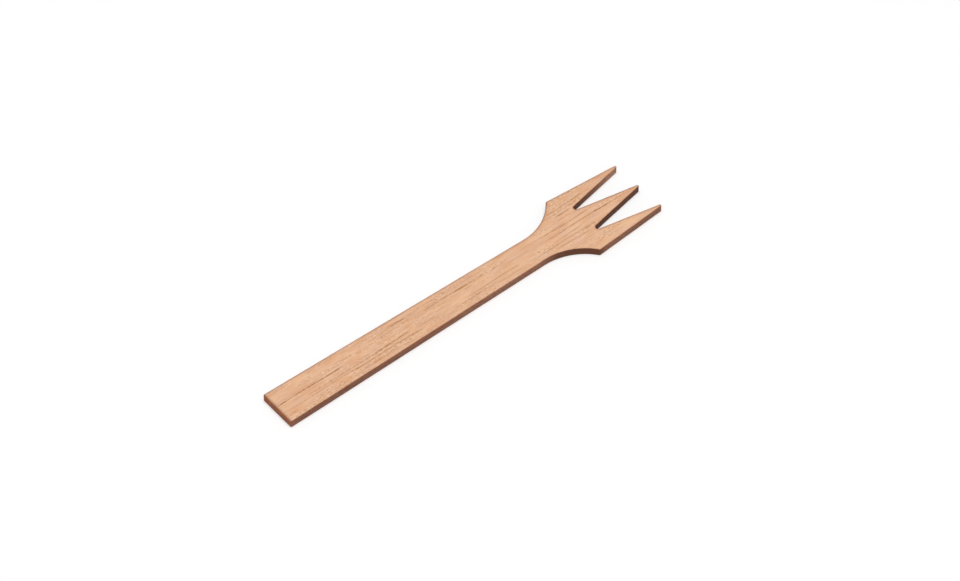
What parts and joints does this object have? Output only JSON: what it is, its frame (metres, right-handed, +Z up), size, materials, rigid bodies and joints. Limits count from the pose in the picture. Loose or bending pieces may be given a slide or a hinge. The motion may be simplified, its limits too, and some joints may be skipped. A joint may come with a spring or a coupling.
{
  "type": "flat wooden fork",
  "caption": "Flat disposable bamboo fork in one piece, with a straight tapering handle, flared shoulders and pointed tines divided by V notches.",
  "frame": {"origin": "middle of the box round the fork, on its underside", "axes": "+X along the fork from the butt towards the tines, +Y across it, +Z up through its thickness"},
  "size_m": [0.09, 0.0164, 0.0017],
  "materials": {
    "bamboo": "bare, fine sanded, unvarnished"
  },
  "bodies": {
    "root": {"fork": "bamboo"}
  },
  "joints": []
}
